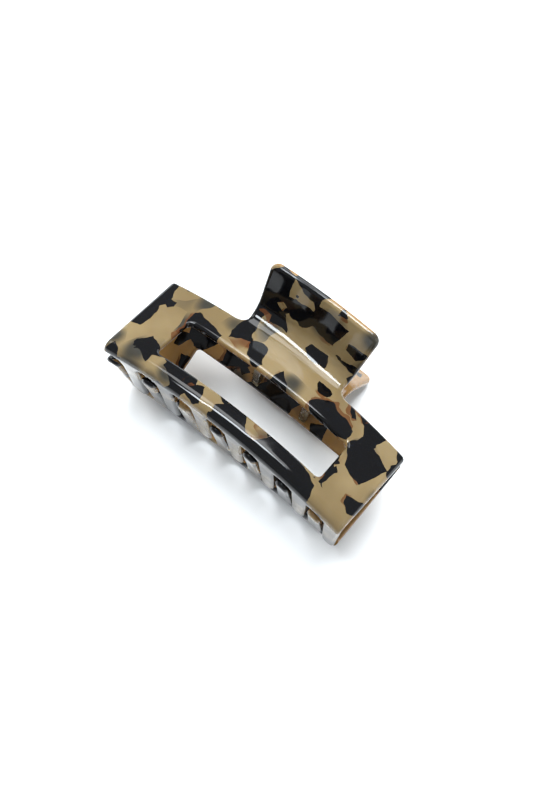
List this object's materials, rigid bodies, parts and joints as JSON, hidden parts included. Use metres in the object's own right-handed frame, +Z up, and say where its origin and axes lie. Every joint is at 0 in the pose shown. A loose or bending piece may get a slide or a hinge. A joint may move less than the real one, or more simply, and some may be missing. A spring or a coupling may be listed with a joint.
{
  "type": "claw clip",
  "caption": "Sprung hair claw clip: two bowed, windowed acetate jaws with interleaving combs and thumb tabs on a pinned hinge.",
  "frame": {"origin": "under the middle of the clip's box as it lies on its back jaw", "axes": "+X along the clip's length and the hinge pin, +Y from the combs to the thumb tabs, +Z up from the back jaw to the front jaw"},
  "size_m": [0.0966, 0.0572, 0.0532],
  "materials": {
    "tortoiseshell_acetate": "polished",
    "clear_acetate": "polished",
    "pin_steel": "satin",
    "spring_steel": "plain wire"
  },
  "bodies": {
    "back": {"back_jaw": "tortoiseshell_acetate", "back_ear_left": "clear_acetate", "back_ear_right": "clear_acetate", "hinge_pin": "pin_steel", "torsion_spring": "spring_steel"},
    "front": {"front_jaw": "tortoiseshell_acetate", "front_ear_left": "clear_acetate", "front_ear_right": "clear_acetate"}
  },
  "joints": [
    {"name": "jaw_hinge", "type": "hinge", "parent": "back", "child": "front", "pos_m": [0, 0.00643, 0.02661], "axis": [-1, 0, 0], "range_deg": [0, 76], "stiffness_Nm_per_rad": 0.08, "springref_deg": -57.3, "deforming": ["torsion_spring"]}
  ]
}
